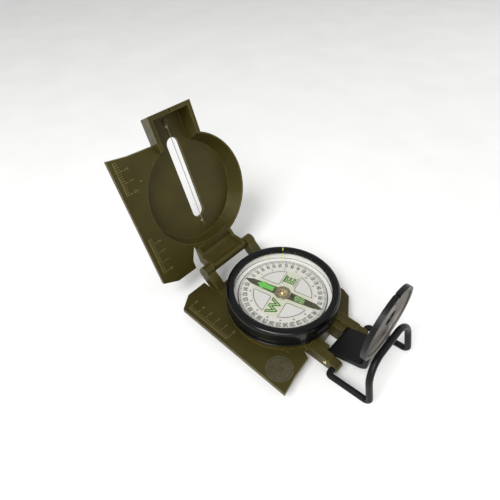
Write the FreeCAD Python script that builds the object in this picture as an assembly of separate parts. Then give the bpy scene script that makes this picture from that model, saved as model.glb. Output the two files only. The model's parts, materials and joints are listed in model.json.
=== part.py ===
import FreeCAD, Part
import math
import os
from FreeCAD import Vector

# Folding sighting compass with a ruler edge, a lid with a sighting wire, a lens bracket and a thumb loop.
# Origin: centre of the underside, under the dial's axis. +Z up, -Y towards the ruler edge,
# +X towards the eye end. The lid is drawn closed and then opened to its rest pose. Millimetres.

# ---- Driving dimensions ----
bezel_r = 26.0            # outside of the rotating bezel
bezel_z = (10.65, 19.8)   # its underside and top
sight_r = 22.2            # clear opening in the bezel
card_r = 20.3
card_z = 13.9             # underside of the compass card
plate_top = 8.0           # upper face of the ruler plate
plate_t = 2.0
ruler_y = -34.2           # straight edge of the ruler plate and of the lid
hinge_x = -35.3           # lid hinge axis
seam = 0.8                # the two plates meet this far outside the hinge axis when the lid lies flat
lid_drop = 7.0            # height of the lid hinge above the plate, and of the lid plate above the hinge
lid_t = 1.6               # wall of the lid casting
recess_depth = 4.9
lid_open = 110.1          # rest pose, measured from closed
pin_r = 1.0               # lid hinge pin
lens_axis = (33.2, 7.6)   # lens bracket hinge, x and z
lens_pin_r = 0.9
disc_r = 15.8             # lens holder
disc_z = 37.3
wall_x = (46.6, 48.6)     # inner and outer face of the upright lens holder
bracket_slope = 20.0      # how far the bracket's arm rises from level when it is upright
loop_axis = (37.2, 7.0)   # thumb loop pivot, x and z
wire_r = 1.35
loop_leg = 18.8
loop_rise = 19.3
loop_tilt = 5.5           # rest angle of the loop's legs above level

# ---- Fits ----
run = 0.05                # radial clearance of a turning fit
side = 0.3                # end gap beside a hinge knuckle

# ---- Derived heights and widths ----
hinge_z = plate_top + lid_drop
lid_z = hinge_z + lid_drop          # inner face of the closed lid's plate
floor_z = lid_z + recess_depth      # inner face of the lid's recess
tongue_w = 11.45                    # half width of the lid's hinge tongue
arm_w = (tongue_w + side, 16.6)     # inner and outer face of the lid-end arms
lens_w = 7.8                        # half width of the lens bracket's knuckle
lug_w = (lens_w + side, 12.3)       # inner and outer face of the lens-end lugs
well_r = bezel_r - 0.6
cup_r = bezel_r - 1.5               # outside of the dial capsule, which the bezel turns on
shelf_r = cup_r - 1.3               # capsule bore above the ledge that surrounds the card
seat_r = cup_r - 0.7                # seat of the capsule window and its seal
glass_r = bezel_r - 2.4             # the bezel's glass
ledge_r = card_r + 0.6
lid_r = bezel_r + 1.2               # outside of the lid's round recess
up = Vector(0, 0, 1)
along = Vector(0, 1, 0)
os.makedirs("parts", exist_ok=True)


def cyl(r, z0, z1, x=0.0, y=0.0):
    return Part.makeCylinder(r, z1 - z0, Vector(x, y, z0), up)


def ring(r_out, r_in, z0, z1):
    return cyl(r_out, z0, z1).cut(cyl(r_in, z0 - 1, z1 + 1))


def box(x0, x1, y0, y1, z0, z1):
    return Part.makeBox(x1 - x0, y1 - y0, z1 - z0, Vector(x0, y0, z0))


def bar(r, x, z, y0, y1):
    """Round bar along Y."""
    return Part.makeCylinder(r, y1 - y0, Vector(x, y0, z), along)


def slab(points, z0, z1):
    """Flat plate with a polygon outline in XY."""
    wire = Part.makePolygon([Vector(x, y, z0) for x, y in points + points[:1]])
    return Part.Face(wire).extrude(Vector(0, 0, z1 - z0))


def profile(points, y0, y1):
    """Prism along Y with a polygon outline in XZ."""
    wire = Part.makePolygon([Vector(x, y0, z) for x, z in points + points[:1]])
    return Part.Face(wire).extrude(Vector(0, y1 - y0, 0))


def taper(x0, y0, x1, y1, z0, z1, root=15.0):
    """Block from X = root that narrows from x0, y0 at its lower face to x1, y1 at its upper one."""
    faces = []
    for x, y, z in ((x0, y0, z0), (x1, y1, z1)):
        corners = [(root, -y), (x, -y), (x, y), (root, y), (root, -y)]
        faces.append(Part.makePolygon([Vector(a, b, z) for a, b in corners]))
    return Part.makeLoft(faces, True, True)


def frustum(r0, r1, z0, z1):
    return Part.makeCone(r0, r1, z1 - z0, Vector(0, 0, z0), up)


def both(shape):
    """A piece and its mirror image across the XZ plane."""
    return [shape, shape.mirror(Vector(0, 0, 0), along)]


def fuse(first, others):
    return first.multiFuse(others).removeSplitter()


def spin(r_in, r_out, z0, z1, chamfer):
    """Ring with its upper outer edge cut at 45 degrees."""
    outline = [(r_in, z0), (r_out, z0), (r_out, z1 - chamfer), (r_out - chamfer, z1), (r_in, z1)]
    wire = Part.makePolygon([Vector(r, 0, z) for r, z in outline + outline[:1]])
    return Part.Face(wire).revolve(Vector(0, 0, 0), up, 360)


def save(name, shape, turn=0.0):
    """Write one node. A turn opens a lid piece from closed to its rest pose."""
    if turn:
        shape = shape.copy()
        shape.rotate(Vector(hinge_x, 0, hinge_z), along, -turn)
    shape.exportStep("parts/" + name + ".step")


def sweep(points, radius, bends):
    """Round wire through the points, with a bend of the given radius at each inner point."""
    edges = []
    start = points[0]
    for here, after, bend in zip(points[1:-1], points[2:], bends):
        back = (start - here).normalize()
        ahead = (after - here).normalize()
        half = back.getAngle(ahead) / 2
        reach = bend / math.tan(half)
        entry = here + back * reach
        leave = here + ahead * reach
        mid = here + (back + ahead).normalize() * (bend / math.sin(half) - bend)
        edges.append(Part.makeLine(start, entry))
        edges.append(Part.Arc(entry, mid, leave).toShape())
        start = leave
    edges.append(Part.makeLine(start, points[-1]))
    path = Part.Wire(edges)
    ring_edge = Part.makeCircle(radius, points[0], points[1] - points[0])
    return path.makePipeShell([Part.Wire([ring_edge])], True, False)


# ---- Base casting ----
def base_body():
    plate = slab([
        (-31.4, ruler_y), (29.7, ruler_y), (28.1, -26.1), (27.0, -15.4), (24.0, -14.2), (24.0, 13.0),
        (28.3, 13.0), (21.6, 23.9), (17.5, 25.6), (-17.5, 25.6), (-21.6, 23.9), (-29.0, 16.0),
        (-29.0, -16.6), (hinge_x - seam, -16.6), (hinge_x - seam, -27.1),
    ], plate_top - plate_t, plate_top)
    well = fuse(frustum(well_r - 2.0, well_r, 0, 2.0), [cyl(well_r, 2.0, bezel_z[0] - run)])

    # lid-end arms: each slopes up from the well to a knuckle
    arm = fuse(bar(3.2, hinge_x, hinge_z, *arm_w), [profile([
        (hinge_x + 0.5, hinge_z + 3.15), (hinge_x + 3.1, hinge_z + 0.8), (1.0 - bezel_r, 9.6), (-14.0, 9.6),
        (-14.0, 3.5), (-27.0, 3.5), (hinge_x - 2.4, hinge_z - 2.1),
    ], *arm_w)])

    # lens-end lugs: a thick root against the well, then a pocket for the lens bracket
    lug_z, lug_top = 4.9, 9.8
    root = fuse(box(18.0, 30.6, -lug_w[1], lug_w[1], lug_z, plate_top + 0.6),
                [box(18.0, 30.6, -7.5, 7.5, 0.6, plate_top)])
    lug = fuse(bar(loop_axis[1] - lug_z, *loop_axis, *lug_w), [
        box(24.0, loop_axis[0], *lug_w, lug_z, 2 * loop_axis[1] - lug_z),
        box(24.0, 34.6, *lug_w, lug_z, lug_top),
    ])
    solid = fuse(plate, [well, root] + both(arm) + both(lug))

    # capsule bore, the open slot beside the bracket, the hinge pin holes and the loop's pivot holes
    solid = solid.cut(cyl(cup_r, 1.6, 30))
    solid = solid.cut(box(24.9, 30.7, -4.7, 4.7, -1, 12).cut(cyl(well_r, -1, 12)))
    solid = solid.cut(bar(pin_r, hinge_x, hinge_z, -20, 20))
    solid = solid.cut(bar(lens_pin_r, *lens_axis, -20, 20))
    for y0 in (-lug_w[1] - 1, lug_w[1] - 3.5):
        solid = solid.cut(bar(wire_r + run, *loop_axis, y0, y0 + 4.5))
    return solid.cut(bar(lens_axis[1] - 4.6, *lens_axis, -lug_w[0], lug_w[0]))


# ---- Dial capsule ----
def capsule_cup():
    outer = cyl(cup_r, 1.6, 17.7)
    outer = outer.cut(cyl(ledge_r, 3.0, 20)).cut(cyl(shelf_r, card_z + 0.1, 20))
    outer = outer.cut(cyl(seat_r, 16.3, 20))
    groove = ring(cup_r + 1, cup_r - 0.5, 12.6, 13.5)
    return outer.cut(groove).cut(cyl(1.2, 1, 4))


def capsule_seal():
    return ring(seat_r, shelf_r, 16.3, 16.6)


def capsule_window():
    return cyl(seat_r, 16.6, 17.7)


def pivot_post():
    foot = fuse(cyl(1.2, 1.6, 3.0), [cyl(2.6, 3.0, 3.8)])
    needle = Part.makeCone(0.7, 0.1, 1.4, Vector(0, 0, 13.2), up)
    return fuse(foot, [cyl(0.7, 3.8, 13.2), needle])


# ---- Compass card ----
north = 193.5             # bearing of the card's north point from +X, in the rest pose
card_t = 0.3
needle_t = 0.35
needle_top = card_z + card_t + needle_t
hub_r = 2.0               # the card and the needle fit over this
hub_flange_r = 3.8
hub_drop = 0.8            # how far the hub hangs below the card
jewel_r = 1.2
jewel_rise = 0.9


def card_turn(shape):
    shape = shape.copy()
    shape.rotate(Vector(0, 0, 0), up, north)
    return shape


def compass_card():
    return cyl(card_r, card_z, card_z + card_t).cut(cyl(hub_r, card_z - 1, card_z + 1))


def magnet_needle():
    half, width = card_r - 0.5, 2.1
    z0 = card_z + card_t
    shape = slab([(half, 0), (16.0, 1.5), (4.0, width), (-4.0, width), (-16.0, 1.5), (-half, 0),
                  (-16.0, -1.5), (-4.0, -width), (4.0, -width), (16.0, -1.5)], z0, needle_top)
    return card_turn(shape.cut(cyl(hub_r, z0 - 1, z0 + 1)))


def north_arrow():
    points = [(13.2, 0), (9.6, 2.5), (9.6, 1.3), (4.6, 1.3), (4.6, -1.3), (9.6, -1.3), (9.6, -2.5)]
    return card_turn(slab(points, needle_top, needle_top + 0.12))


def card_hub():
    z0 = card_z - hub_drop
    body = fuse(cyl(hub_r, z0, needle_top), [cyl(hub_flange_r, needle_top, needle_top + 0.4)])
    body = fuse(body, [Part.makeSphere(1.7, Vector(0, 0, card_z + 0.4), up, 0, 90, 360)])
    return body.cut(cyl(jewel_r, z0 - 1, card_z + jewel_rise))


def jewel_bearing():
    z0 = card_z - hub_drop
    cup = Part.makeCone(0.95, 0.14, 1.5, Vector(0, 0, z0), up)
    return cyl(jewel_r, z0, card_z + jewel_rise).cut(cup)


# ---- Bezel ----
glass_z = (18.1, 19.1)    # the bezel's glass
snap_z = 17.8             # underside of the ring that holds the glass


def bezel_ring():
    z0, z1 = bezel_z
    solid = spin(0, bezel_r, z0, z1, 1.3)
    solid = solid.cut(cyl(cup_r + run, z0 - 1, 17.75))
    solid = solid.cut(cyl(glass_r, 17.7, glass_z[1])).cut(cyl(sight_r, 17, z1 + 1))
    return solid.cut(ring(cup_r + 0.45, cup_r - 1, 12.5, 13.6))


def bezel_glass():
    return cyl(glass_r, *glass_z)


def bezel_snap_ring():
    """Flat split ring that holds the glass up against the bezel's lip."""
    solid = ring(glass_r, sight_r, snap_z, glass_z[0])
    return solid.cut(box(0, 30, -0.8, 0.8, 17, 19))


index_turn = 129.6        # bearing of the bezel's index line from +X, in the rest pose


def index_line():
    shape = box(18.0, sight_r - 0.1, -0.25, 0.25, glass_z[0] - 0.15, glass_z[0])
    shape.rotate(Vector(0, 0, 0), up, index_turn)
    return shape


def bezel_retainer():
    """Split wire ring in the capsule's groove, which keeps the bezel on."""
    solid = Part.makeTorus(cup_r - 0.1, 0.4, Vector(0, 0, 13.05), up)
    solid = solid.cut(box(-30, -20, -1.5, 1.5, 10, 16))
    return solid


# ---- Lid, drawn closed ----
def lid_shell():
    end_x = 39.2
    box_w = 11.4
    rim_z = lid_z - 2.5
    edge_x = hinge_x + seam + 0.15
    plate = slab([
        (-30.9, ruler_y), (29.8, ruler_y), (28.2, -24.7), (27.2, -9.0), (0, 0), (-30.0, -15.6),
        (edge_x, -15.6), (edge_x, -26.7),
    ], lid_z, lid_z + lid_t)
    top_z = floor_z + lid_t
    dome = frustum(lid_r, lid_r - 1.4, lid_z, top_z)
    head = taper(end_x, box_w, end_x - 1.5, box_w - 1.5, rim_z, top_z)

    # hinge tongue: two cheeks and a web that run down to the hinge barrel
    barrel_r = 2.1
    barrel = bar(barrel_r, hinge_x, hinge_z, -tongue_w, tongue_w)
    cheek = profile([
        (-27.4, lid_z - 0.2), (-25.0, lid_z + lid_t), (-34.2, lid_z + lid_t),
        (hinge_x - barrel_r, hinge_z + 1.0), (hinge_x, hinge_z - barrel_r),
        (hinge_x + 1.8, hinge_z - 2.0), (hinge_x + 2.6, hinge_z - 0.9),
        (-30.4, lid_z - 1.6),
    ], tongue_w - 1.5, tongue_w)
    web = profile([
        (-26.0, lid_z + 0.2), (-26.0, lid_z + lid_t), (-34.2, lid_z + lid_t),
        (hinge_x - barrel_r, hinge_z + 1.0), (hinge_x, hinge_z - barrel_r), (hinge_x + 0.9, hinge_z - 1.9),
        (-31.6, lid_z - 1.4), (-30.0, lid_z + 0.2),
    ], -tongue_w + 1, tongue_w - 1)
    solid = fuse(dome, [plate, head, barrel, web] + both(cheek))

    # raised rim round the side that has no plate
    rim_r, floor_r = bezel_r + 0.55, bezel_r - 2.6
    rim = ring(lid_r, floor_r + 1, rim_z, lid_z + 1)
    far = lid_r + 5
    keep = slab([(0, 0), (26.0, box_w), (26.0, far), (-27.0, far), (-27.0, 10.6)], 0, 40)
    solid = fuse(solid, [rim.common(keep)])

    # round recess, box recess, sighting slot and the notch in the end wall
    solid = solid.cut(frustum(rim_r, floor_r, rim_z, floor_z))
    wall = 1.9
    slot_x, slot_r = (-10.75, 23.05), 3.25
    bay_x, bay_w = end_x - wall, box_w - wall
    solid = solid.cut(taper(bay_x, bay_w, bay_x - 1.1, bay_w - 1.1, rim_z, floor_z))
    slot = fuse(box(*slot_x, -slot_r, slot_r, 20, 40), [cyl(slot_r, 20, 40, x) for x in slot_x])
    solid = solid.cut(slot).cut(box(end_x - 3, end_x + 1, -0.8, 0.8, rim_z, rim_z + 0.9))
    for x in wire_x:
        solid = solid.cut(cyl(0.8, 20, 40, x))
    return solid.cut(bar(pin_r + run, hinge_x, hinge_z, -20, 20))


wire_x = (-18.7, 33.4)    # ends of the sighting wire


def wire_plugs():
    """Two staked plugs that grip the sighting wire."""
    plugs = []
    for x in wire_x:
        plug = fuse(cyl(0.8, floor_z, floor_z + lid_t, x), [cyl(1.1, floor_z - 0.9, floor_z, x)])
        plugs.append(plug.cut(wire_bar()))
    return Part.makeCompound(plugs)


def sight_dots():
    """Two luminous dots on the recess floor, in line with the sighting wire."""
    return Part.makeCompound([cyl(0.7, floor_z - 0.15, floor_z, x) for x in (-16.3, 31.2)])


def wire_bar():
    length = wire_x[1] - wire_x[0]
    return Part.makeCylinder(0.15, length, Vector(wire_x[0], 0, floor_z - 0.45), Vector(1, 0, 0))


# ---- Lens bracket, drawn upright ----
def lens_bracket():
    knuckle = bar(2.3, *lens_axis, -lens_w, lens_w)
    rise = math.tan(math.radians(bracket_slope))
    x0, z0 = lens_axis

    def over(x, lift):
        """Point on a line along the arm, this far above the hinge axis."""
        return (x, z0 + lift + (x - x0) * rise)

    arm = profile([
        over(x0 - 0.8, 2.45), over(wall_x[0] - 2.0, 2.45), (wall_x[0] - 0.6, over(wall_x[0], 3.1)[1]),
        (wall_x[0], over(wall_x[0], 4.6)[1]), (wall_x[0], disc_z), (wall_x[1], disc_z),
        (wall_x[1], over(wall_x[1], 2.2)[1]), (wall_x[1] - 0.8, over(wall_x[1], 0.9)[1]),
        over(wall_x[1] - 2.4, 0.4), over(x0, 0.4),
    ], -lens_w, lens_w)
    disc = Part.makeCylinder(disc_r, wall_x[1] - wall_x[0], Vector(wall_x[0], 0, disc_z), Vector(1, 0, 0))
    solid = fuse(arm, [knuckle, disc])
    dish = Part.makeCylinder(disc_r - 1.6, 1, Vector(wall_x[1] - 0.4, 0, disc_z), Vector(1, 0, 0))
    solid = solid.cut(dish)
    solid = solid.cut(box(wall_x[0] - 1, wall_x[1] + 1, -0.6, 0.6, disc_z + 10.5, disc_z + 20))
    solid = solid.cut(lens_bore(3.2, 4)).cut(lens_bore(4.0, 1.5))
    return solid.cut(bar(lens_pin_r + run, *lens_axis, -20, 20))


lens_z = disc_z + 3.4     # optical centre


def lens_bore(radius, depth):
    """Round bore from the bracket's inner face, this deep."""
    return Part.makeCylinder(radius, depth, Vector(wall_x[0], 0, lens_z), Vector(1, 0, 0))


def sighting_lens():
    """Biconvex magnifier."""
    blank = lens_bore(4.0, 1.1)
    curve = 16.0
    near = Part.makeSphere(curve, Vector(wall_x[0] + curve, 0, lens_z))
    far = Part.makeSphere(curve, Vector(wall_x[0] + 1.1 - curve, 0, lens_z))
    return blank.common(near).common(far)


def lens_ring():
    outer = Part.makeCylinder(4.0, 0.4, Vector(wall_x[0] + 1.1, 0, lens_z), Vector(1, 0, 0))
    inner = Part.makeCylinder(3.2, 2, Vector(wall_x[0], 0, lens_z), Vector(1, 0, 0))
    return outer.cut(inner)


# ---- Thumb loop ----
def thumb_loop():
    tilt = math.radians(loop_tilt)
    lean = math.radians(loop_tilt + 99)
    x0, z0 = loop_axis
    knee = (x0 + loop_leg * math.cos(tilt), z0 + loop_leg * math.sin(tilt))
    crown = (knee[0] + loop_rise * math.cos(lean), knee[1] + loop_rise * math.sin(lean))
    y = 15.4
    inner = lug_w[1] - 2.6
    points = [Vector(x0, -inner, z0), Vector(x0, -y, z0), Vector(knee[0], -y, knee[1]),
              Vector(crown[0], -y + 0.6, crown[1]), Vector(crown[0], y - 0.6, crown[1]),
              Vector(knee[0], y, knee[1]), Vector(x0, y, z0), Vector(x0, inner, z0)]
    return sweep(points, wire_r, [1.3, 2.2, 9.0, 9.0, 2.2, 1.3])


# ---- Hinge pins ----
def pin(radius, x, z, reach):
    return bar(radius, x, z, -reach, reach)


opened = {"lid_shell": lid_shell, "sighting_wire": wire_bar, "wire_plugs": wire_plugs,
          "sight_dots": sight_dots}
fixed = {
    "base_body": base_body, "capsule_cup": capsule_cup, "capsule_seal": capsule_seal,
    "capsule_window": capsule_window, "pivot_post": pivot_post, "bezel_retainer": bezel_retainer,
    "compass_card": compass_card, "magnet_needle": magnet_needle, "north_arrow": north_arrow,
    "card_hub": card_hub, "jewel_bearing": jewel_bearing, "bezel_ring": bezel_ring,
    "bezel_glass": bezel_glass, "bezel_snap_ring": bezel_snap_ring, "index_line": index_line,
    "lens_bracket": lens_bracket, "sighting_lens": sighting_lens, "lens_ring": lens_ring,
    "thumb_loop": thumb_loop,
}
for name, make in opened.items():
    save(name, make(), lid_open)
for name, make in fixed.items():
    save(name, make())
save("lid_hinge_pin", pin(pin_r, hinge_x, hinge_z, arm_w[1] + 0.2))
save("lens_hinge_pin", pin(lens_pin_r, *lens_axis, lug_w[1] + 0.2))
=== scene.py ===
import json
import math
import bmesh
import bpy
from mathutils import Matrix, Vector


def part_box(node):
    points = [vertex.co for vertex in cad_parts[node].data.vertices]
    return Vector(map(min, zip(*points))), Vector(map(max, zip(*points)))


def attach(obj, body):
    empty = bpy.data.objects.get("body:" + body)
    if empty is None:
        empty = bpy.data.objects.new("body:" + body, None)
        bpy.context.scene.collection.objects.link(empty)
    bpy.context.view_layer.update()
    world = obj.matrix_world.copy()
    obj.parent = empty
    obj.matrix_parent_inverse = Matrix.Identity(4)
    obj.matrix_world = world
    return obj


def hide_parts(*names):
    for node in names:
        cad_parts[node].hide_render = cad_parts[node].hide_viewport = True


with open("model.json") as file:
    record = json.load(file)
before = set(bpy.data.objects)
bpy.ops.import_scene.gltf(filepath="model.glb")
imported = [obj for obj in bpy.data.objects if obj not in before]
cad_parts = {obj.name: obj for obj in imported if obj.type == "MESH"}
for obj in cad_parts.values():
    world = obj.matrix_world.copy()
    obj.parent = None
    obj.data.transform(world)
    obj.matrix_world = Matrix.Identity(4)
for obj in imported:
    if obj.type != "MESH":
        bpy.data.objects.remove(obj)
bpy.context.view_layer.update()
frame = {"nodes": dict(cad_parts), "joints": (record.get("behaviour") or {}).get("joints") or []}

nodes = frame["nodes"]
scene = bpy.context.scene
mm = 0.001
print("frame loaded:", len(nodes), "nodes")


# ---- shared helpers ----

def tone(code):
    # hex colour to the linear values that shader sockets take
    parts = [int(code[i:i + 2], 16) / 255 for i in (1, 3, 5)]
    return [p / 12.92 if p <= 0.04045 else ((p + 0.055) / 1.055) ** 2.4 for p in parts] + [1.0]


def turnAbout(jointName, degrees):
    joint = next(j for j in frame["joints"] if j["name"] == jointName)
    pivot = Vector(joint["pos_m"])
    turn = Matrix.Rotation(math.radians(degrees), 4, Vector(joint["axis"]))
    return Matrix.Translation(pivot) @ turn @ Matrix.Translation(-pivot)


def shutAngle():
    joint = next(j for j in frame["joints"] if j["name"] == "lid_hinge")
    return -joint["range_deg"][0]


lidPlace = turnAbout("lid_hinge", shutAngle())     # takes a shut lid's points to the open rest pose


def at(x, y, z, spin=0.0):
    # place in millimetres, turned about Z by spin degrees
    return Matrix.Translation(Vector((x, y, z)) * mm) @ Matrix.Rotation(math.radians(spin), 4, "Z")


def showPiece(name, bm, body, finish, replaced=(), smooth=32.0):
    mesh = bpy.data.meshes.new(name)
    bm.to_mesh(mesh)
    bm.free()
    mesh.materials.append(finish)
    mesh.shade_smooth()
    mesh.set_sharp_from_angle(angle=math.radians(smooth))
    piece = bpy.data.objects.new(name, mesh)
    scene.collection.objects.link(piece)
    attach(piece, body)
    if replaced:
        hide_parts(*replaced)
    return piece


def cadCopy(node):
    # a merged copy of a CAD node, with its flat faces whole again
    bm = bmesh.new()
    bm.from_mesh(nodes[node].data)
    bmesh.ops.remove_doubles(bm, verts=bm.verts, dist=2e-6)
    bmesh.ops.dissolve_limit(bm, angle_limit=math.radians(0.4), verts=bm.verts, edges=bm.edges)
    return bm


def softenEdges(bm, width, corner=28.0, steps=2):
    sharp = [e for e in bm.edges if len(e.link_faces) == 2 and e.calc_face_angle(0) > math.radians(corner)]
    bmesh.ops.bevel(bm, geom=sharp, offset=width * mm, offset_type="OFFSET", affect="EDGES", segments=steps,
                    profile=0.5, material=-1, clamp_overlap=True, loop_slide=True)


def evenShading(piece):
    weighted = piece.modifiers.new("evenShading", "WEIGHTED_NORMAL")
    weighted.keep_sharp = True
    weighted.weight = 80


def addBlock(bm, size, place):
    # a box of this size in millimetres, centred on the place
    made = bmesh.ops.create_cube(bm, size=1.0)
    stretch = Matrix.Diagonal(Vector(size) * mm).to_4x4()
    bmesh.ops.transform(bm, matrix=place @ stretch, verts=made["verts"])


def addDisc(bm, radius, thick, place, segments=64, top=None):
    made = bmesh.ops.create_cone(bm, cap_ends=True, segments=segments, radius1=radius * mm,
                                 radius2=(radius if top is None else top) * mm, depth=thick * mm)
    bmesh.ops.transform(bm, matrix=place, verts=made["verts"])


def addRing(bm, inner, outer, thick, place, segments=128):
    # flat ring: a closed rectangle spun once round
    made = bmesh.ops.create_grid(bm, x_segments=1, y_segments=1, size=0.5)
    middle = Vector(((inner + outer) / 2, 0, 0)) * mm
    shape = Matrix.Translation(middle) @ Matrix.Rotation(math.pi / 2, 4, "X")
    shape = shape @ Matrix.Diagonal(Vector((outer - inner, thick, 1)) * mm).to_4x4()
    bmesh.ops.transform(bm, matrix=shape, verts=made["verts"])
    face = made["verts"][0].link_faces[0]
    edges = list(face.edges)
    before = set(bm.verts)
    bmesh.ops.spin(bm, geom=edges, cent=(0, 0, 0), axis=(0, 0, 1), angle=math.tau, steps=segments,
                   use_merge=True)
    bmesh.ops.delete(bm, geom=[face], context="FACES_ONLY")
    newVerts = [v for v in bm.verts if v not in before] + [v for v in made["verts"] if v.is_valid]
    bmesh.ops.transform(bm, matrix=place, verts=newVerts)


def addLetters(bm, words, size, thick, place, weight=0.0, squeeze=1.0):
    curve = bpy.data.curves.new("lettering", "FONT")
    curve.body = words
    curve.size = size * mm
    curve.align_x = "CENTER"
    curve.align_y = "CENTER"
    curve.extrude = thick * mm / 2
    curve.offset = weight * mm
    curve.resolution_u = 3
    holder = bpy.data.objects.new("lettering", curve)
    mesh = bpy.data.meshes.new_from_object(holder)
    mesh.transform(place @ Matrix.Diagonal((squeeze, 1, 1, 1)))
    bm.from_mesh(mesh)
    bpy.data.meshes.remove(mesh)
    bpy.data.objects.remove(holder)
    bpy.data.curves.remove(curve)


def spinProfile(points, steps):
    # closed outline of (radius, height) points in millimetres, spun about Z
    bm = bmesh.new()
    verts = [bm.verts.new(Vector((r, 0, z)) * mm) for r, z in points]
    edges = [bm.edges.new((a, b)) for a, b in zip(verts, verts[1:] + verts[:1])]
    bmesh.ops.spin(bm, geom=verts + edges, cent=(0, 0, 0), axis=(0, 0, 1), angle=math.tau, steps=steps,
                   use_merge=True)
    bmesh.ops.remove_doubles(bm, verts=bm.verts, dist=1e-7)
    bmesh.ops.recalc_face_normals(bm, faces=bm.faces)
    return bm


# ---- finishes ----

class Finish:
    # a material whose nodes are added one at a time
    def __init__(self, name, **sockets):
        self.material = bpy.data.materials.new(name)
        self.material.use_nodes = True
        self.tree = self.material.node_tree
        self.shader = self.tree.nodes["Principled BSDF"]
        self.coords = self.tree.nodes.new("ShaderNodeTexCoord").outputs["Object"]
        for socket, value in sockets.items():
            self.shader.inputs[socket].default_value = value

    def node(self, kind, links=None, **values):
        made = self.tree.nodes.new(kind)
        for key, value in values.items():
            setattr(made, key, value)
        for socket, source in (links or {}).items():
            if isinstance(source, bpy.types.NodeSocket):
                self.tree.links.new(source, made.inputs[socket])
            else:
                made.inputs[socket].default_value = source
        return made

    def noise(self, size, detail=4.0, stretch=(1, 1, 1)):
        # size is the width of one blotch in millimetres
        spread = self.node("ShaderNodeMapping", {"Vector": self.coords, "Scale": stretch}).outputs[0]
        made = self.node("ShaderNodeTexNoise", {"Vector": spread, "Scale": 1000 / size, "Detail": detail})
        return made.outputs["Fac"]

    def between(self, fac, low, high, span=(0.35, 0.65)):
        made = self.node("ShaderNodeMapRange", {"Value": fac, "From Min": span[0], "From Max": span[1],
                                                "To Min": low, "To Max": high})
        return made.outputs[0]

    def blend(self, fac, first, second):
        made = self.node("ShaderNodeMix", data_type="RGBA")
        self.tree.links.new(fac, made.inputs[0])
        for index, value in ((6, first), (7, second)):
            if isinstance(value, bpy.types.NodeSocket):
                self.tree.links.new(value, made.inputs[index])
            else:
                made.inputs[index].default_value = value
        return made.outputs[2]

    def edges(self, radius):
        # 0 on flat faces, 1 along outer and inner corners
        rounded = self.node("ShaderNodeBevel", {"Radius": radius * mm}, samples=4).outputs[0]
        plain = self.node("ShaderNodeNewGeometry").outputs["Normal"]
        dot = self.node("ShaderNodeVectorMath", {0: rounded, 1: plain}, operation="DOT_PRODUCT")
        return self.between(dot.outputs["Value"], 1.0, 0.0, span=(0.80, 0.97))

    def bump(self, height, depth, strength=1.0):
        made = self.node("ShaderNodeBump", {"Height": height, "Distance": depth * mm, "Strength": strength})
        self.tree.links.new(made.outputs[0], self.shader.inputs["Normal"])

    def feed(self, socket, source):
        self.tree.links.new(source, self.shader.inputs[socket])


def paintedMetal(name, look):
    # enamel on a casting: blotchy tone, orange peel, and lighter edges that are partly rubbed paint and
    # partly a painted highlight along the edges
    finish = Finish(name, Metallic=look["metallic"], **look.get("sockets", {}))
    blotch = finish.between(finish.noise(look["blotch"], 5.0), 0.0, 1.0)
    body = finish.blend(blotch, tone(look["dark"]), tone(look["light"]))
    # lighter colour along edges: partly real wear, partly painted highlight
    rubAndGlint = finish.node("ShaderNodeMath", {0: finish.edges(look["edge"]),
                                         1: finish.between(finish.noise(1.3, 3.0), 0.35, 1.0)},
                      operation="MULTIPLY").outputs[0]
    finish.feed("Base Color", finish.blend(rubAndGlint, body, tone(look["wearAndGlint"])))
    finish.feed("Roughness", finish.between(finish.noise(2.5, 3.0), *look["rough"]))
    finish.bump(finish.noise(look["grain"], 3.0), look["depth"])
    return finish.material


turnedFace = {
    "centre": (0.0, 0.0, 37.3), "radius": 14.3, "outside": 48.0, "tone": "#59534a", "metallic": 0.8,
    "brushed": 0.85,
}


def turnedPaint(name, look):
    # black enamel, worn to a turned sheen on the lens holder's outer face
    material = paintedMetal(name, look)
    tree = material.node_tree
    shader = tree.nodes["Principled BSDF"]
    coords = next(n for n in tree.nodes if n.bl_idname == "ShaderNodeTexCoord").outputs["Object"]

    def step(kind, operation, *values):
        made = tree.nodes.new(kind)
        made.operation = operation
        for index, value in enumerate(values):
            if isinstance(value, bpy.types.NodeSocket):
                tree.links.new(value, made.inputs[index])
            else:
                made.inputs[index].default_value = value
        return made

    vector, number = "ShaderNodeVectorMath", "ShaderNodeMath"
    middle = [v * mm for v in turnedFace["centre"]]
    across = step(vector, "SUBTRACT", coords, middle).outputs[0]
    flat = step(vector, "MULTIPLY", across, (0, 1, 1)).outputs[0]
    inside = step(number, "LESS_THAN", step(vector, "LENGTH", flat).outputs["Value"],
                  turnedFace["radius"] * mm).outputs[0]
    along = step(vector, "DOT_PRODUCT", coords, (1, 0, 0)).outputs["Value"]
    outer = step(number, "GREATER_THAN", along, turnedFace["outside"] * mm).outputs[0]
    mask = step(number, "MULTIPLY", inside, outer).outputs[0]
    marks = step(vector, "CROSS_PRODUCT", (1, 0, 0), flat).outputs[0]
    tangent = step(vector, "NORMALIZE", marks).outputs[0]
    body = shader.inputs["Base Color"].links[0].from_socket
    mix = tree.nodes.new("ShaderNodeMix")
    mix.data_type = "RGBA"
    mix.inputs[7].default_value = tone(turnedFace["tone"])
    tree.links.new(mask, mix.inputs[0])
    tree.links.new(body, mix.inputs[6])
    tree.links.new(mix.outputs[2], shader.inputs["Base Color"])
    for socket, share in (("Metallic", turnedFace["metallic"]), ("Anisotropic", turnedFace["brushed"])):
        tree.links.new(step(number, "MULTIPLY", mask, share).outputs[0], shader.inputs[socket])
    tree.links.new(tangent, shader.inputs["Tangent"])
    return material


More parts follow.
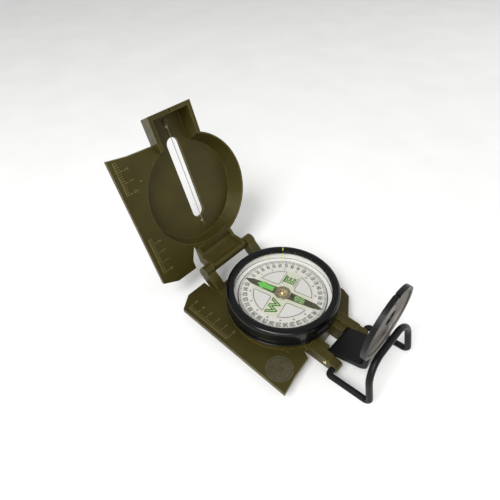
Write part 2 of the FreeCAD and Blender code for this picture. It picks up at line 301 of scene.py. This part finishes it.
finishes = {
    "olivePaint": paintedMetal("olivePaint", {
        "dark": "#3c3511", "light": "#443d15", "wearAndGlint": "#958c50", "blotch": 14.0, "edge": 0.4,
        "rough": (0.34, 0.46), "grain": 0.35, "depth": 0.006, "metallic": 0.35,
        "sockets": {"Specular IOR Level": 0.4}}),
    "blackPaint": turnedPaint("blackPaint", {
        "dark": "#0e0e0e", "light": "#151515", "wearAndGlint": "#3a3a38", "blotch": 9.0, "edge": 0.3,
        "rough": (0.34, 0.44), "grain": 0.3, "depth": 0.004, "metallic": 0.0,
        "sockets": {"Specular IOR Level": 0.22}}),
    "bezelBlack": paintedMetal("bezelBlack", {
        "dark": "#060607", "light": "#0a0a0b", "wearAndGlint": "#2c2d2d", "blotch": 8.0, "edge": 0.2,
        "rough": (0.16, 0.24), "grain": 0.8, "depth": 0.0005, "metallic": 0.0,
        "sockets": {"Specular IOR Level": 0.3}}),
    "wireBlack": paintedMetal("wireBlack", {
        "dark": "#101010", "light": "#171717", "wearAndGlint": "#2a2a28", "blotch": 5.0, "edge": 0.3,
        "rough": (0.30, 0.40), "grain": 0.5, "depth": 0.003, "metallic": 0.0,
        "sockets": {"Specular IOR Level": 0.16}}),
    "needlePaint": paintedMetal("needlePaint", {
        "dark": "#332f18", "light": "#57502f", "wearAndGlint": "#8c8562", "blotch": 2.5, "edge": 0.15,
        "rough": (0.28, 0.42), "grain": 0.2, "depth": 0.004, "metallic": 0.5}),
    "hubPaint": paintedMetal("hubPaint", {
        "dark": "#8a8060", "light": "#aaa07e", "wearAndGlint": "#cfc6a4", "blotch": 1.5, "edge": 0.2,
        "rough": (0.18, 0.28), "grain": 0.3, "depth": 0.003, "metallic": 0.9}),
    "padPaint": paintedMetal("padPaint", {
        "dark": "#3d3824", "light": "#48432d", "wearAndGlint": "#7d7654", "blotch": 3.0, "edge": 0.15,
        "rough": (0.45, 0.58), "grain": 0.4, "depth": 0.006, "metallic": 0.2}),
    # a lighter copy of the olive paint for the raised marks: partly rubbed paint, partly painted highlight
    "rubbedAndHighlitPaint": paintedMetal("rubbedAndHighlitPaint", {
        "dark": "#554e24", "light": "#706836", "wearAndGlint": "#9a9160", "blotch": 2.0, "edge": 0.2,
        "rough": (0.36, 0.48), "grain": 0.3, "depth": 0.006, "metallic": 0.25}),
}


def metal(name, dark, light, rough, brushed):
    # bare turned metal, with fine marks round its axis
    finish = Finish(name, Metallic=1.0)
    marks = finish.noise(0.5, 4.0, brushed)
    finish.feed("Base Color", finish.blend(finish.between(marks, 0, 1), tone(dark), tone(light)))
    finish.feed("Roughness", finish.between(finish.noise(1.2), *rough))
    finish.bump(marks, 0.004)
    return finish.material


def printed(name, dark, light, rough=0.6, paintedGlow=0.0, size=0.6):
    # ink, card stock and luminous paint: a faint speckle and a dry surface; luminous paint can also get a
    # painted glow, an emission that keeps it bright without any lamp
    finish = Finish(name)
    speckle = finish.between(finish.noise(size, 5.0), 0, 1, span=(0.3, 0.7))
    finish.feed("Base Color", finish.blend(speckle, tone(dark), tone(light)))
    finish.feed("Roughness", finish.between(finish.noise(0.8), rough - 0.08, rough + 0.08))
    finish.bump(finish.noise(0.12, 2.0), 0.004)
    # painted glow: emission in the paint's own colour
    if paintedGlow:
        finish.shader.inputs["Emission Color"].default_value = tone(light)
        finish.shader.inputs["Emission Strength"].default_value = paintedGlow
    return finish.material


def clearGlass(name, tint):
    finish = Finish(name, IOR=1.45)
    finish.shader.inputs["Base Color"].default_value = tone(tint)
    finish.shader.inputs["Transmission Weight"].default_value = 1.0
    finish.feed("Roughness", finish.between(finish.noise(6.0), 0.0, 0.02))
    return finish.material


def thinGlass(name, tint):
    # a flat pane: clear from above, and a mirror at low angles
    finish = Finish(name, Metallic=1.0)
    finish.shader.inputs["Base Color"].default_value = tone(tint)
    finish.feed("Roughness", finish.between(finish.noise(6.0), 0.01, 0.03))
    # only the face that a ray enters by reflects: the far face is left clear
    behind = finish.node("ShaderNodeNewGeometry").outputs["Backfacing"]
    front = finish.between(behind, 1.0, 0.0, span=(0.0, 1.0))
    mirror = finish.node("ShaderNodeFresnel", {"IOR": 1.45}).outputs[0]
    shown = finish.node("ShaderNodeMath", {0: mirror, 1: front}, operation="MULTIPLY")
    finish.feed("Alpha", shown.outputs[0])
    return finish.material


finishes.update({
    "brass": metal("brass", "#c2a366", "#f0dcae", (0.20, 0.32), (1, 1, 6)),
    "steel": metal("steel", "#8b8a86", "#c9c8c2", (0.22, 0.36), (1, 6, 1)),
    "cardStock": printed("cardStock", "#d8d6cd", "#e0ded6"),
    "capsuleWhite": printed("capsuleWhite", "#ecebe5", "#f3f2ee", 0.4, size=2.0),
    "paleGlow": printed("paleGlow", "#c9ccb4", "#d3d6bf"),
    "windowTint": printed("windowTint", "#d2d0cb", "#dad8d4", 0.4),
    "blackInk": printed("blackInk", "#171612", "#24231e"),
    "greyInk": printed("greyInk", "#1d1c19", "#2a2924"),
    "redInk": printed("redInk", "#7c3c2c", "#8f4a38"),
    "darkGreen": printed("darkGreen", "#142c0c", "#1e3d12"),
    "dotGlow": printed("dotGlow", "#7f8452", "#90955f", 0.5),
    # these two get a painted glow from emission
    "greenPaintedGlow": printed("greenPaintedGlow", "#52ad38", "#68c64a", 0.5, 0.05),
    "softGreen": printed("softGreen", "#8cc06a", "#a2d37f", 0.5),
    "yellowPaintedGlow": printed("yellowPaintedGlow", "#c0c63e", "#d6dc55", 0.5, 0.12),
    "rubber": printed("rubber", "#c9c8c2", "#d6d5cf", 0.6),
    "ruby": printed("ruby", "#7c1420", "#a82334", 0.25),
    "glass": thinGlass("glass", "#fbfdfc"),
    "lensGlass": clearGlass("lensGlass", "#f4faf8"),
})
print("finishes made:", len(finishes))


# ---- castings ----

castings = {
    "baseCasting": {"node": "base_body", "body": "base", "edge": 0.3},
    "lidCasting": {"node": "lid_shell", "body": "lid", "edge": 0.6},
}
for name, look in castings.items():
    shape = cadCopy(look["node"])
    softenEdges(shape, look["edge"])
    casting = showPiece(name, shape, look["body"], finishes["olivePaint"], [look["node"]])
    evenShading(casting)
    print(name, "made:", len(casting.data.polygons), "faces")


# ---- raised ruler marks ----

ruler = {
    "edge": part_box("base_body")[0].y / mm,       # the ruler's straight edge
    "lineInset": 2.1,
    "line": 0.22,
    "relief": 0.18,
    "tickWidth": 0.2,
    "ticks": (1.7, 3.0),                         # short and long
    "figure": 2.6,
    "figureGap": 4.6,
    "baseTop": 8.0,
    "lidFace": 22.0,
    "basePanel": (-30, -5, "012345"),
    "lidPanels": ((14, 28, "012"), (-26, -8, "0123")),
}


def rulerPanel(bm, place, start, stop, figures, outward, mirror=1):
    # a raised line beside the edge, ticks behind it, and figures behind those
    line = ruler["edge"] + ruler["lineInset"]
    high = ruler["relief"]
    addBlock(bm, (stop - start, ruler["line"], high), place @ at((start + stop) / 2, line, high / 2))
    count = round(stop - start)
    for step in range(count + 1):
        reach = ruler["ticks"][step % 5 == 0]
        x = start + step
        addBlock(bm, (ruler["tickWidth"], reach, high), place @ at(x, line + reach / 2, high / 2))
    for index, figure in enumerate(figures):
        x = start + 5 * index if outward else stop - 5 * index
        addLetters(bm, figure, ruler["figure"], high,
                   place @ at(x, line + ruler["figureGap"], high / 2, 180 if outward else 0), squeeze=mirror)


def baseRuler():
    bm = bmesh.new()
    top = Matrix.Translation((0, 0, ruler["baseTop"] * mm))
    rulerPanel(bm, top, *ruler["basePanel"], False)
    addDisc(bm, 0.45, 0.5, top @ at(18.9, -19.0, 0.1), 24, 0.2)
    return bm


def lidRuler():
    # the lid's inner face looks down when it is shut
    bm = bmesh.new()
    flip = lidPlace @ Matrix.Translation((0, 0, ruler["lidFace"] * mm)) @ Matrix.Diagonal((1, 1, -1, 1))
    for panel in ruler["lidPanels"]:
        rulerPanel(bm, flip, *panel, True, -1)
    addDisc(bm, 0.5, 0.5, flip @ at(16.8, -27.3 + 3.5, 0.1), 24, 0.25)
    bmesh.ops.recalc_face_normals(bm, faces=bm.faces)
    return bm


showPiece("baseRuler", baseRuler(), "base", finishes["rubbedAndHighlitPaint"])
showPiece("lidRuler", lidRuler(), "lid", finishes["rubbedAndHighlitPaint"])


castPad = {"x": 21.2, "y": -27.3, "radius": 5.9, "rings": (5.8, 4.6, 2.2), "rays": 16}


def padShape():
    bm = bmesh.new()
    for radius in castPad["rings"]:
        addRing(bm, radius - 0.35, radius, 0.2, at(castPad["x"], castPad["y"], 8.12), 64)
    addDisc(bm, castPad["radius"], 0.05, at(castPad["x"], castPad["y"], 8.02), 64)
    for index in range(castPad["rays"]):
        place = at(castPad["x"], castPad["y"], 8.12, 360 * index / castPad["rays"])
        addBlock(bm, (1.5, 0.3, 0.2), place @ at(3.3, 0, 0))
    return bm


showPiece("castPad", padShape(), "base", finishes["padPaint"])
print("relief made")


# ---- bezel ----

bezelLook = {
    "outer": 25.95, "lip": 22.2, "flare": 0.9, "bore": 24.55, "seat": 23.6,
    "top": 19.8, "under": 10.65, "glassTop": 19.1,
    "shoulder": 1.5, "groove": (14.3, 13.9), "grooveDeep": 0.45, "knurl": (13.7, 10.9), "tooth": 0.6,
    "steps": 720,
}


def bezelShape():
    look = bezelLook
    outer, top, under = look["outer"], look["top"], look["under"]
    points = [(look["lip"], look["glassTop"]), (look["lip"], look["glassTop"] + 0.15),
              (look["lip"] + look["flare"], top - 0.06), (look["lip"] + look["flare"] + 0.25, top)]
    for step in range(7):
        angle = math.radians(90 - 15 * step)
        points.append((outer - look["shoulder"] + look["shoulder"] * math.cos(angle),
                       top - look["shoulder"] + look["shoulder"] * math.sin(angle)))
    inner = outer - look["grooveDeep"]
    points += [(outer, look["groove"][0] + 0.2), (inner, look["groove"][0]), (inner, look["groove"][1]),
               (outer - 0.05, look["knurl"][0]), (outer, look["knurl"][0] - 0.2), (outer, look["knurl"][1]),
               (outer - 0.2, under), (look["bore"], under), (look["bore"], 17.7), (look["seat"], 17.7),
               (look["seat"], look["glassTop"])]
    bm = spinProfile(points, look["steps"])
    high, low = look["knurl"]
    for vert in bm.verts:
        x, y, z = vert.co / mm
        radius = math.hypot(x, y)
        if radius > outer - 0.06 and low - 0.05 < z < high + 0.05:
            index = round(math.atan2(y, x) / math.tau * look["steps"]) % 4
            if index > 1:
                vert.co.xy *= (radius - look["tooth"]) / radius
    return bm


showPiece("bezelRim", bezelShape(), "bezel", finishes["bezelBlack"], ["bezel_ring"], 24)
for name, look in {"bezel_glass": "glass", "capsule_window": "glass"}.items():
    nodes[name].data.materials.clear()
    nodes[name].data.materials.append(finishes[look])


indexLook = {"bearing": 129.6, "inner": 18.0, "outer": 25.4, "second": 152.0, "wide": 0.34}


def indexMarks():
    bm = bmesh.new()
    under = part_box("index_line")[1].z / mm
    long = indexLook["bearing"]
    lip = bezelLook["lip"]
    addBlock(bm, (lip - 0.1 - indexLook["inner"], indexLook["wide"], 0.04),
             at(0, 0, under - 0.03, long) @ at((lip - 0.1 + indexLook["inner"]) / 2, 0, 0))
    addBlock(bm, (indexLook["outer"] - lip - 1.0, indexLook["wide"], 0.03),
             at(0, 0, bezelLook["top"] - 0.005, long) @ at((lip + 0.1 + indexLook["outer"] - 0.9) / 2, 0, 0))
    addBlock(bm, (3.4, indexLook["wide"], 0.04), at(0, 0, under - 0.03, indexLook["second"]) @ at(20.4, 0, 0))
    return bm


showPiece("indexMarks", indexMarks(), "bezel", finishes["yellowPaintedGlow"], ["index_line"])
print("bezel made")


# ---- dial ----

dial = {
    "north": 193.5, "top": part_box("compass_card")[1].z / mm, "glowRadius": 13.6, "arm": 3.7,
    "tick": (19.1, 20.1), "longTick": 18.8, "figures": 17.2, "figureSize": 3.0, "figureWeight": 0.07,
    "redRadius": 15.0, "redSize": 1.25, "frame": 0.3,
}


def onCard(radius, bearing, lift, turned=True):
    # bearing runs clockwise from the card's north point
    around = at(0, 0, dial["top"] + lift, dial["north"] - bearing)
    return around @ at(radius, 0, 0, -90 if turned else 0)


def dialInk():
    bm = bmesh.new()
    outer = dial["tick"][1]
    for degree in range(0, 360, 2):
        inner = dial["longTick"] if degree % 10 == 0 else dial["tick"][0]
        place = onCard((inner + outer) / 2, degree, 0.01, False)
        addBlock(bm, (outer - inner, 0.3 if degree % 10 == 0 else 0.2, 0.02), place)
    for bearing in range(0, 360, 10):
        addLetters(bm, str(bearing), dial["figureSize"], 0.02, onCard(dial["figures"], bearing, 0.01),
                   dial["figureWeight"], 0.5)
    return bm


def dialRed():
    bm = bmesh.new()
    for index in range(16):
        place = onCard(dial["redRadius"], index * 22.5, 0.01)
        addLetters(bm, str(4 * index), dial["redSize"], 0.02, place, 0.04, 0.8)
    for index in range(96):
        addBlock(bm, (0.5, 0.12, 0.02), onCard(14.1, index * 3.75, 0.01, False))
    return bm


def glowCross():
    bm = bmesh.new()
    addDisc(bm, dial["glowRadius"], 0.01, at(0, 0, dial["top"] + 0.005), 96)
    return bm


def windowPanes(frameOnly):
    # four fan-shaped panes between the arms of the cross
    bm = bmesh.new()
    for quarter in range(4):
        part = bmesh.new()
        bmesh.ops.create_circle(part, cap_ends=True, segments=120, radius=dial["glowRadius"] * mm)
        for normal in ((1, 0, 0), (0, 1, 0)):
            geom = part.verts[:] + part.edges[:] + part.faces[:]
            bmesh.ops.bisect_plane(part, geom=geom, dist=1e-7, plane_co=Vector(normal) * dial["arm"] * mm,
                                   plane_no=normal, clear_inner=True)
        corner = min(part.verts, key=lambda v: v.co.length)
        bmesh.ops.bevel(part, geom=[corner], offset=1.3 * mm, affect="VERTICES", segments=5, profile=0.5,
                        material=-1)
        if frameOnly:
            rim = bmesh.ops.inset_region(part, faces=part.faces[:], thickness=dial["frame"] * mm,
                                          use_boundary=True)["faces"]
            middle = [f for f in part.faces if f not in rim]
            bmesh.ops.delete(part, geom=middle, context="FACES")
        grown = bmesh.ops.extrude_face_region(part, geom=part.faces[:])
        tops = [g for g in grown["geom"] if isinstance(g, bmesh.types.BMVert)]
        bmesh.ops.translate(part, verts=tops, vec=(0, 0, 0.012 * mm))
        bmesh.ops.recalc_face_normals(part, faces=part.faces)
        lift = 0.02 if frameOnly else 0.012
        place = at(0, 0, dial["top"] + lift, dial["north"] + 90 * quarter)
        bmesh.ops.transform(part, matrix=place, verts=part.verts)
        scrap = bpy.data.meshes.new("scrap")
        part.to_mesh(scrap)
        part.free()
        bm.from_mesh(scrap)
        bpy.data.meshes.remove(scrap)
    return bm


letterLook = {"size": 6.4, "radius": 8.6, "squeeze": 1.2, "bold": 0.36, "fill": -0.06}


def cardLetters(weight, lift, marks):
    # upright when north is at the top
    bm = bmesh.new()
    for mark, bearing in marks.items():
        angle = math.radians(dial["north"] - bearing)
        spot = Vector((math.cos(angle), math.sin(angle), 0)) * letterLook["radius"]
        place = at(spot.x, spot.y, dial["top"] + lift, dial["north"] - 90)
        addLetters(bm, mark, letterLook["size"], 0.02, place, weight, letterLook["squeeze"])
    return bm


def letterBars():
    # two fine bars each side of the east letter
    bm = bmesh.new()
    for side in (-1, 1):
        place = at(0, 0, dial["top"] + 0.02, dial["north"]) @ at(side * 2.95, -8.6, 0)
        addBlock(bm, (0.3, 6.0, 0.02), place)
    return bm


showPiece("dialInk", dialInk(), "card", finishes["greyInk"])
showPiece("dialRed", dialRed(), "card", finishes["redInk"])
showPiece("glowCross", glowCross(), "card", finishes["paleGlow"])
showPiece("windowPanes", windowPanes(False), "card", finishes["windowTint"])
showPiece("windowFrames", windowPanes(True), "card", finishes["blackInk"])
showPiece("letterBars", letterBars(), "card", finishes["darkGreen"])
layers = {"letterEdges": ("bold", 0.02, "darkGreen"), "letterFill": ("fill", 0.035, "softGreen")}
for name, (weight, lift, look) in layers.items():
    letters = cardLetters(letterLook[weight], lift, {"E": 90, "W": 270})
    showPiece(name, letters, "card", finishes[look])

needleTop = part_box("magnet_needle")[1].z / mm
southLook = {"size": 5.8, "radius": 8.7, "edge": 0.36, "fill": -0.05}


def southLetter(weight, lift):
    bm = bmesh.new()
    angle = math.radians(dial["north"] + 180)
    spot = Vector((math.cos(angle), math.sin(angle), 0)) * southLook["radius"]
    place = at(spot.x, spot.y, needleTop + lift, dial["north"] - 90)
    addLetters(bm, "S", southLook["size"], 0.02, place, weight)
    return bm


showPiece("southEdge", southLetter(southLook["edge"], 0.01), "card", finishes["softGreen"])
showPiece("southFill", southLetter(southLook["fill"], 0.025), "card", finishes["darkGreen"])

needle = cadCopy("magnet_needle")
softenEdges(needle, 0.12, steps=1)
plate = showPiece("needlePlate", needle, "card", finishes["needlePaint"], ["magnet_needle"])
evenShading(plate)
arrow = cadCopy("north_arrow")
softenEdges(arrow, 0.04, steps=1)
showPiece("northArrow", arrow, "card", finishes["greenPaintedGlow"], ["north_arrow"])

hubLook = {"flange": 3.75, "step": 2.2, "dome": 1.65, "rise": 1.0}


def hubFlange():
    z = needleTop
    flange = hubLook["flange"]
    points = [(0.0, z), (flange - 0.1, z), (flange, z + 0.08), (flange, z + 0.22), (flange - 0.25, z + 0.38),
              (hubLook["step"] + 0.1, z + 0.42), (0.0, z + 0.42)]
    return spinProfile(points, 64)


def hubDome():
    z = needleTop + 0.42
    points = [(0.0, z), (hubLook["step"], z), (hubLook["step"], z + 0.06), (hubLook["step"] - 0.15, z + 0.14),
              (hubLook["dome"] + 0.05, z + 0.15)]
    for step in range(8):
        angle = math.radians(step * 90 / 7)
        points.append((hubLook["dome"] * math.cos(angle), z + 0.16 + hubLook["rise"] * math.sin(angle)))
    return spinProfile(points, 48)


showPiece("hubFlange", hubFlange(), "card", finishes["hubPaint"])
showPiece("hubDome", hubDome(), "card", finishes["brass"], ["card_hub"])
print("dial made")


# ---- capsule ----

def ledgeLine():
    # a thin black ring near the ledge's outer edge, where it meets the wall: painted shade in that crease
    bm = bmesh.new()
    addRing(bm, 22.7, 23.0, 0.03, at(0, 0, 14.0 + 0.015), 160)
    return bm


showPiece("ledgeLine", ledgeLine(), "base", finishes["blackInk"])


# ---- bracket, loop, pins and small pieces ----

copies = {
    "lensBracket": ("lens_bracket", "lens_arm", "blackPaint", "black_metal", 0.2, 28),
    "lensRing": ("lens_ring", "lens_arm", "blackPaint", "black_metal", 0.06, 28),
    "lensPane": ("sighting_lens", "lens_arm", "lensGlass", "clear_glass", 0.0, 28),
    "wireLoop": ("thumb_loop", "loop", "wireBlack", "black_wire", 0.2, 50),
    "lidPin": ("lid_hinge_pin", "base", "olivePaint", "brass", 0.2, 28),
    "lensPin": ("lens_hinge_pin", "base", "brass", "brass", 0.2, 28),
    "sightWire": ("sighting_wire", "lid", "steel", "pin_steel", 0.0, 28),
    "wirePlugs": ("wire_plugs", "lid", "olivePaint", "olive_paint", 0.12, 28),
    "sightDots": ("sight_dots", "lid", "dotGlow", "luminous", 0.04, 28),
}
for name, (node, body, look, slot, edge, corner) in copies.items():
    shape = cadCopy(node)
    if edge:
        softenEdges(shape, edge, corner)
    piece = showPiece(name, shape, body, finishes[look], [node], 40)
    evenShading(piece)
    piece.visible_shadow = look != "lensGlass"

plain = {
    "capsule_cup": "capsuleWhite", "capsule_seal": "rubber", "pivot_post": "steel", "bezel_retainer": "steel",
    "compass_card": "cardStock", "jewel_bearing": "ruby", "bezel_snap_ring": "steel",
}
for node, look in plain.items():
    nodes[node].data.materials.clear()
    nodes[node].data.materials.append(finishes[look])
print("small pieces made")


# ---- studio ----

def floorSheet():
    bm = bmesh.new()
    bmesh.ops.create_grid(bm, x_segments=1, y_segments=1, size=1.5)
    mesh = bpy.data.meshes.new("floor")
    bm.to_mesh(mesh)
    bm.free()
    paper = Finish("paper", Roughness=0.9)
    fibre = paper.between(paper.noise(40.0), 0, 1)
    paper.feed("Base Color", paper.blend(fibre, tone("#f4f4f3"), tone("#f8f8f7")))
    mesh.materials.append(paper.material)
    floor = bpy.data.objects.new("floor", mesh)
    scene.collection.objects.link(floor)


lamps = {
    "keyLamp": {"place": (0.08, -0.46, 0.66), "size": 0.3, "power": 4.2},
    "fillLamp": {"place": (0.34, -0.40, 0.42), "size": 0.3, "power": 1.3},
    "backLamp": {"place": (0.25, 0.60, 0.35), "size": 0.4, "power": 0.8},
}


def studio():
    floorSheet()
    for name, look in lamps.items():
        lamp = bpy.data.lights.new(name, "AREA")
        lamp.energy = look["power"]
        lamp.size = look["size"]
        holder = bpy.data.objects.new(name, lamp)
        scene.collection.objects.link(holder)
        holder.location = look["place"]
        holder.rotation_euler = (-Vector(look["place"])).to_track_quat("-Z", "Y").to_euler()
    world = bpy.data.worlds.new("studio")
    world.use_nodes = True
    sky = world.node_tree.nodes["Background"]
    sky.inputs["Color"].default_value = (1, 1, 1, 1)
    sky.inputs["Strength"].default_value = 0.5
    scene.world = world
    scene.view_settings.view_transform = "Standard"


camera = {
    "place": (68.556, -92.385, 157.565), "azimuth": 43.82, "elevation": 45.08, "roll": -1.48, "lens": 28.38,
}


def takeView():
    data = bpy.data.cameras.new("camera")
    data.lens = camera["lens"]
    data.clip_start = 0.01
    holder = bpy.data.objects.new("camera", data)
    scene.collection.objects.link(holder)
    aim = Matrix.Rotation(math.radians(camera["azimuth"]), 4, "Z")
    aim = aim @ Matrix.Rotation(math.radians(90 - camera["elevation"]), 4, "X")
    aim = aim @ Matrix.Rotation(math.radians(camera["roll"]), 4, "Z")
    holder.matrix_world = Matrix.Translation(Vector(camera["place"]) * mm) @ aim
    scene.camera = holder


studio()
takeView()
print("studio ready")
